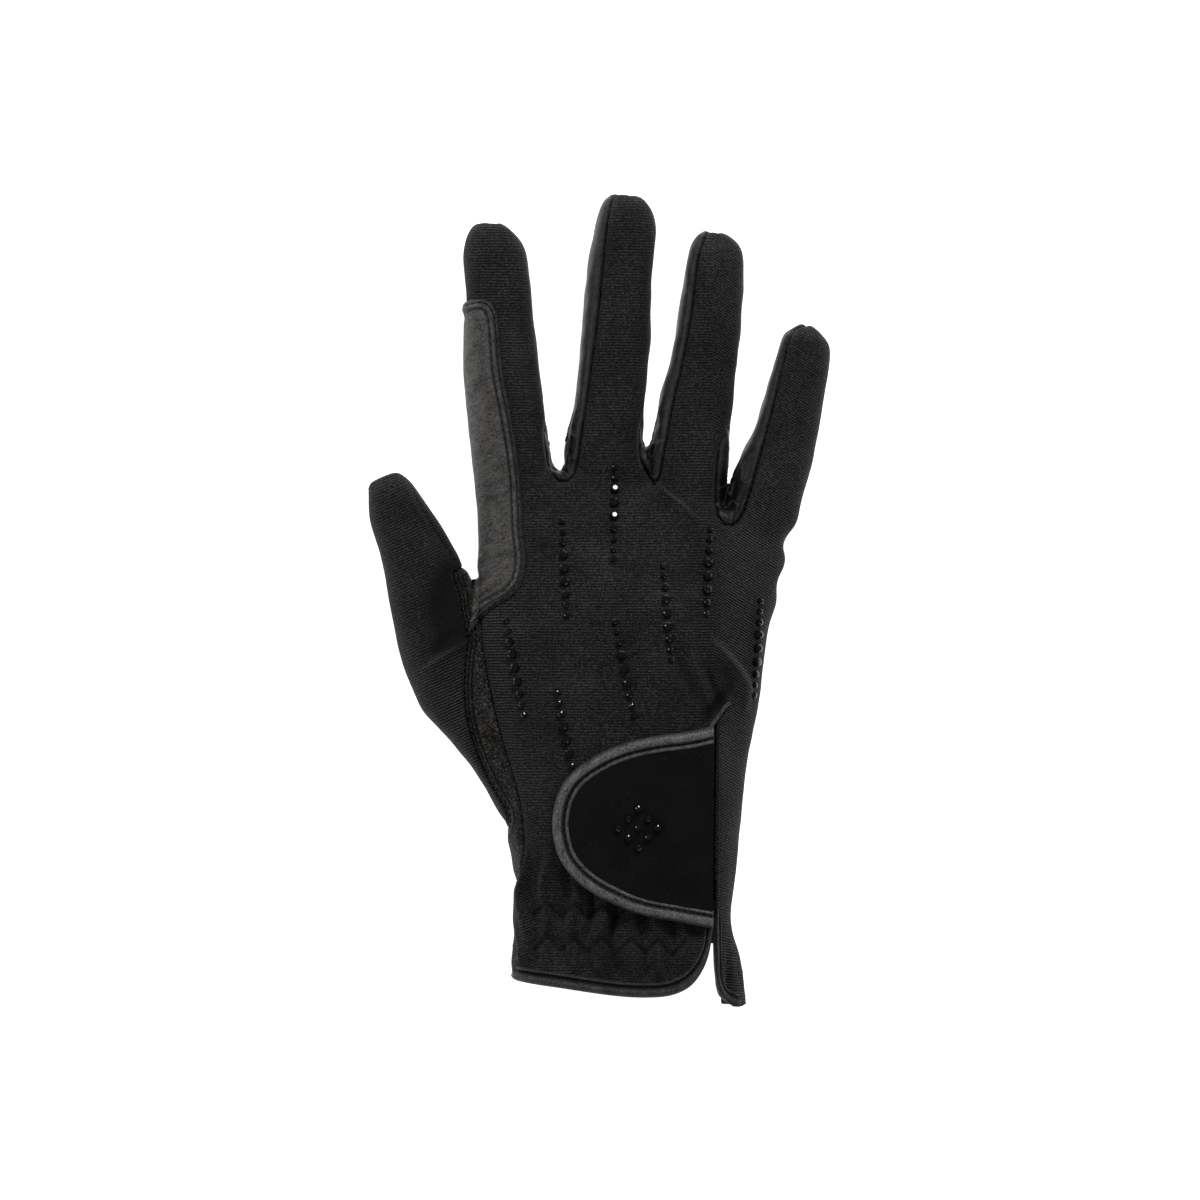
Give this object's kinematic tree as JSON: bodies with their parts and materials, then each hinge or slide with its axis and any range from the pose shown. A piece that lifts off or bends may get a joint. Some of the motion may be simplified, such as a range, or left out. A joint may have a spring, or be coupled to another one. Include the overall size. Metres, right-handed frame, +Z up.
{
  "type": "horse riding glove",
  "caption": "Right-hand riding glove with a stretch cloth back, leather palm, finger sides and index patch, a bound vented cuff, a wrist closing tab and rows of crystals on its back.",
  "frame": {"origin": "on the surface that the glove lies on, under the middle of the palm", "axes": "+Y towards the fingertips, +X towards the little finger, +Z up out of the back of the hand"},
  "size_m": [0.1345, 0.2356, 0.031],
  "materials": {
    "cloth": "finely ribbed matte stretch cloth, black",
    "leather": "grained satin synthetic leather, black",
    "binding_leather": "smooth satin folded leather, black",
    "suede": "very matte brushed suede, black",
    "crystal": "faceted black glass, bright glints"
  },
  "bodies": {
    "root": {"back_panel": "cloth", "palm_panel": "leather", "thumb_back": "cloth", "side_strip": "leather", "fourchette_index_middle": "leather", "fourchette_middle_ring": "leather", "fourchette_ring_little": "leather", "index_patch": "leather", "cuff_binding": "binding_leather", "flap_binding": "binding_leather", "palm_binding": "binding_leather", "closure_tab": "suede", "tab_binding": "binding_leather", "stone_row_1": "crystal", "stone_row_2": "crystal", "stone_row_3": "crystal", "stone_row_4": "crystal", "stone_row_5": "crystal", "stone_row_6": "crystal", "stone_row_7": "crystal", "stone_row_8": "crystal", "tab_stones": "crystal"}
  },
  "joints": []
}
